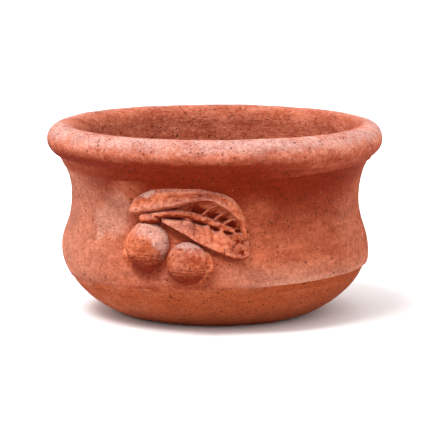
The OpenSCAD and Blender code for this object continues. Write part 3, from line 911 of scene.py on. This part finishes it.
# The crest lies near the inner edge, and a fold runs along the outer flank
crest = 0.18 + 0.2 * smoothstep(part, 0.6, 0.8)
inner = np.sin(np.clip(g / crest, 0, 1) * math.pi / 2) ** 0.6
outer_flank = np.cos(np.clip((g - crest) / (1 - crest), 0, 1) * math.pi / 2) ** 1.15
lift = margin_h * height * np.where(g < crest, inner, 1.08 * outer_flank - 0.08)
lift *= rounded(part * margin_len, 6) * rounded((1 - part) * margin_len, 6)
fold = np.exp(-((g - 0.52) / 0.14) ** 2) * smoothstep(part, 0.68, 0.5)
fold *= smoothstep(part, 0.04, 0.16)
lift -= 1.6 * fold
drawn_lines = flat_ripple(part * margin_len / 6, g * margin_w, 3, 24.0)
lift += (1.3 * flat_ripple(s, z, 9, 21.0) + 0.5 * flat_ripple(s, z, 4, 27.0)
         + 0.7 * drawn_lines) * smoothstep(g, 0, 0.3) * smoothstep(g, 1.1, 0.8)
lift = np.maximum(lift, -1.2)
move_to(leaf_margin, on_wall(s * MM, z * MM, np.where(top, lift * MM, -sunk)))
# Lime on the knob, the crest and the outer flank; painted shade in the fold and where the outer
# edge melts into the wall's painted shade, and darker towards the tip, on its outer side
torn = 3 * flat_ripple(s, z, 6, 48.0)
knob_lime = 0.85 * dent(s + torn, z + torn, (-35.5, 121.5), 8, 3, 12, soft=1.1)
outer_lime = 0.3 * smoothstep(g, 0.65, 0.85)
outer_lime *= smoothstep(part, 0.1, 0.3) * smoothstep(part, 0.72, 0.55)
rough_end = 0.25 * smoothstep(part, 0.62, 0.8) * smoothstep(g, 0.4, 0.9)
crest_lime = 0.3 * np.exp(-((g - 0.28) / 0.14) ** 2) * smoothstep(part, 0.75, 0.5)
melted_edge_shade = 0.35 * smoothstep(g + 0.15 * flat_ripple(s, z, 5, 44.0), 0.84, 1.02)
weather(leaf_margin, 0.4, np.maximum.reduce([knob_lime, outer_lime, crest_lime]),
        np.maximum.reduce([0.15 * fold, rough_end, melted_edge_shade]), 0.55)
fit(leaf_margin, relief_clay, "relief_clay", "leaf_margin")


# ---- Midrib ----
# A thinner roll of clay pressed down the middle of the leaf. It comes out of the twig and
# is flattened more and more towards the tip.
def ribbon(name, rows, seat, bumps, ends, cells=(200, 18), power=0.65, end_shade=0.0):
    """A domed roll of clay along rows of [lower edge, upper edge, height], in mm, that starts at
    the seat's height and has lumps and rounded ends of these sizes. A lower power makes it
    boxier. The last argument is the share of painted shade that darkens its last end."""
    piece = slab(name, *cells)
    cell = places(piece)
    part, g, top = cell[:, 0], cell[:, 1], cell[:, 2] > 0.5
    low_s, low_z, up_s, up_z, height = through(rows, part)
    s, z = low_s + (up_s - low_s) * g, low_z + (up_z - low_z) * g
    run = math.dist(rows[0][:2], rows[-1][:2])
    lift = seat + height * np.sin(g * math.pi) ** power
    lift += bumps * flat_ripple(s, z, 4, 33.0)
    lift *= rounded(part * run, ends) * rounded((1 - part) * run, ends)
    move_to(piece, on_wall(s * MM, z * MM, np.where(top, lift * MM, -sunk)))
    # Painted shade on what faces down, and over the last end as much as given
    weather(piece, deep=end_shade * smoothstep(part, 0.8, 0.95))
    return piece


midrib_h = 5.8
leaf_midrib = ribbon("leaf_midrib_rolled", [
    [-38, 99.4, -38, 106.0, midrib_h * 0.8],
    [-28, 100.0, -28, 106.8, midrib_h],
    [-20, 101.6, -20, 108.4, midrib_h],
    [-10, 102.6, -10, 109.8, midrib_h * 0.9],
    [0, 102.2, 0, 109.6, midrib_h * 0.7],
    [10, 100.0, 10, 106.8, midrib_h * 0.48],
    [20, 96.8, 20, 103.2, midrib_h * 0.38],
    [30, 93.2, 30, 99.0, midrib_h * 0.28],
    [37, 91.0, 37, 96.0, midrib_h * 0.2],
    [43, 89.6, 43, 93.0, midrib_h * 0.1]], blade_t, bumps=1.3, ends=7, power=0.5)
fit(leaf_midrib, relief_clay, "relief_clay", "leaf_midrib")

# ---- Veins ----
# Thin threads of the leaf's clay, pinched up and left standing between the gouged
# pockets of its upper half, from the midrib to the margin.
vein_w = 3.4
vein_h = 3.6
veins = []
for number, (start, end) in enumerate(vein_runs):
    rows = []
    for t in (0, 0.35, 0.7, 1):
        width = vein_w * (1 - 0.3 * t)
        at_s = start[0] + (end[0] - start[0]) * t
        at_z = start[1] + (end[1] - start[1]) * t + 0.9 * math.sin(math.pi * t)
        rows.append([at_s + 0.3 * width, at_z - 0.4 * width, at_s - 0.3 * width,
                     at_z + 0.4 * width, vein_h * (1 + 0.4 * t)])
    veins.append(ribbon(f"vein_{number}", rows, pocket_h, bumps=0.7, ends=1.0,
                        cells=(60, 12)))
bpy.ops.object.select_all(action="DESELECT")
for vein in veins:
    vein.select_set(True)
leaf_veins = veins[0]
bpy.context.view_layer.objects.active = leaf_veins
bpy.ops.object.join()
leaf_veins.name = "leaf_veins_pinched"
fit(leaf_veins, relief_clay, "relief_clay", "leaf_veins")

# ---- Twig ----
# The short stub that the leaf and the fruits hang from: a thick roll of clay, pressed
# over the leaf's stem and cut off square.
# Its last end is darkened with painted shade
twig = ribbon("twig_rolled", [
    [-41.5, 97.4, -42, 104.0, 5],
    [-37.5, 95.0, -38, 106.0, 8.6],
    [-32, 94.6, -31.5, 106.4, 9.6],
    [-27, 96.2, -26, 105.4, 9.0],
    [-22.5, 97.8, -22, 103.4, 6]], 0.4, bumps=0.9, ends=3, cells=(90, 30), power=0.5,
    end_shade=0.75)
fit(twig, relief_clay, "relief_clay", "twig")

# ---- Fruits ----
# Two balls of clay rolled in the palms and pressed onto the wall side by side, scratched
# by the grit under the hand and worn pale on top.
fruit_sink = 3.4


def fruit(name, at, size, stretch, taper, seed, lime_at, deep_at):
    """A hand-rolled ball, in mm, with its back pressed flat into the wall. Its upper and
    lower halves are stretched, and its foot tapered. It has patches of lime and one of
    deep colour, each a share, middle, half length, half width and slant."""
    bpy.ops.object.select_all(action="DESELECT")
    bpy.ops.mesh.primitive_uv_sphere_add(segments=220, ring_count=130, radius=size * MM)
    piece = bpy.context.object
    piece.name = name
    bpy.ops.object.shade_smooth()
    co = places(piece)
    way = co / (size * MM)
    co[:, 0] *= 1 - taper * smoothstep(-way[:, 2], 0, 1)
    co[:, 1] *= 0.97
    co[:, 2] *= np.where(way[:, 2] > 0, *stretch)
    # Soft lumps, scratches that run round it, and grit
    lumps = 0.7 * ripple(co, 17 * MM, seed) + 0.22 * ripple(co, 12 * MM, seed + 5, squash=8)
    lumps += 0.2 * ripple(co, 3.2 * MM, seed + 9, squash=2.5)
    co += (lumps * MM)[:, None] * way
    turn = at[0] * MM / relief_r
    reach = float(wall_radius(at[1] * MM)) - fruit_sink * MM
    place = np.array((reach * math.sin(turn), -reach * math.cos(turn), at[1] * MM))
    co = by_hand(co + place)
    # What would reach deeper into the wall than the relief's other pieces is flattened
    depth = wall_radius(co[:, 2]) - sunk - radius_of(co)
    co[:, :2] *= (1 + np.maximum(depth, 0) / radius_of(co))[:, None]
    move_to(piece, co)
    s, z = turn_of(co) * relief_r / MM, co[:, 2] / MM
    ragged = 3 * ripple(co, 7 * MM, seed) + 1.5 * ripple(co, 2.5 * MM, seed + 2)
    patches = [share * dent(s + ragged, z + ragged, *patch, soft=0.9)
               for share, *patch in lime_at]
    share, *patch = deep_at
    bare = share * dent(s + ragged, z + ragged, *patch, soft=0.9)
    # Lime in the patches given, bare deep clay where given, and painted shade on what faces down
    weather(piece, 0.6, np.maximum.reduce(patches), bare)
    return piece


fruit_left_at, fruit_left_r = (-33.5, 76.0), 19.8
fruit_right_at, fruit_right_r = (2.5, 64.8), 18.2
fruit_left_stretch, fruit_right_stretch = (1.12, 1.07), (0.96, 0.9)
fruit_left = fruit("fruit_left_rolled", fruit_left_at, fruit_left_r, fruit_left_stretch,
                   0.08, 3.0, [(0.68, (-27, 93), 14, 6.5, -14), (0.66, (-17.5, 81), 5.5, 12, 8)],
                   (0.3, (-36, 73), 16, 9, 0))
fit(fruit_left, relief_clay, "relief_clay", "fruit_left")
fruit_right = fruit("fruit_right_rolled", fruit_right_at, fruit_right_r,
                    fruit_right_stretch, 0.0, 43.0,
                    [(0.85, (3, 81.5), 15, 4.5, 0), (0.15, (-1, 66), 5, 9, -10)],
                    (0.4, (-3, 63), 17, 13, 0))
fit(fruit_right, relief_clay, "relief_clay", "fruit_right")


# ---- Fruit beads ----
# Soft clay pressed with a finger into the corner between each fruit and the wall, to
# hold the fruit on and close the joint.
bead_in, bead_len = 4, 60


def bead(name, at, radius, stretch, start, sweep, wide, high):
    """A worn fillet of this width and height, in mm, round part of a fruit, in degrees
    from its right, going upwards."""
    piece = slab(name, 150, 24)
    cell = places(piece)
    part, g, top = cell[:, 0], cell[:, 1], cell[:, 2] > 0.5
    angle = np.radians(start + sweep * part)
    swell = np.sin(part * math.pi) ** 0.5
    out = radius - bead_in + (bead_in + wide * swell) * (1 - g)
    s = at[0] + out * np.cos(angle)
    z = at[1] + out * np.sin(angle) * np.where(np.sin(angle) > 0, *stretch)
    lift = (0.3 + high * swell * np.sin(g * math.pi) ** 0.7) * rounded(part * bead_len, 2)
    lift = lift * rounded((1 - part) * bead_len, 2)
    lift += 0.3 * flat_ripple(s, z, 5, 61.0) * swell
    move_to(piece, on_wall(s * MM, z * MM, np.where(top, lift * MM, -sunk)))
    # Painted shade on its downward faces, lighter than on the other pieces
    weather(piece, 0.1, under=0.7)
    return piece


left_bead = bead("fruit_left_bead_pressed", fruit_left_at, fruit_left_r,
                 fruit_left_stretch, 140, 90, 3.4, 1.5)
fit(left_bead, relief_clay, "relief_clay", "fruit_left_bead")
right_bead = bead("fruit_right_bead_pressed", fruit_right_at, fruit_right_r,
                  fruit_right_stretch, 250, 145, 3.8, 2.2)
fit(right_bead, relief_clay, "relief_clay", "fruit_right_bead")
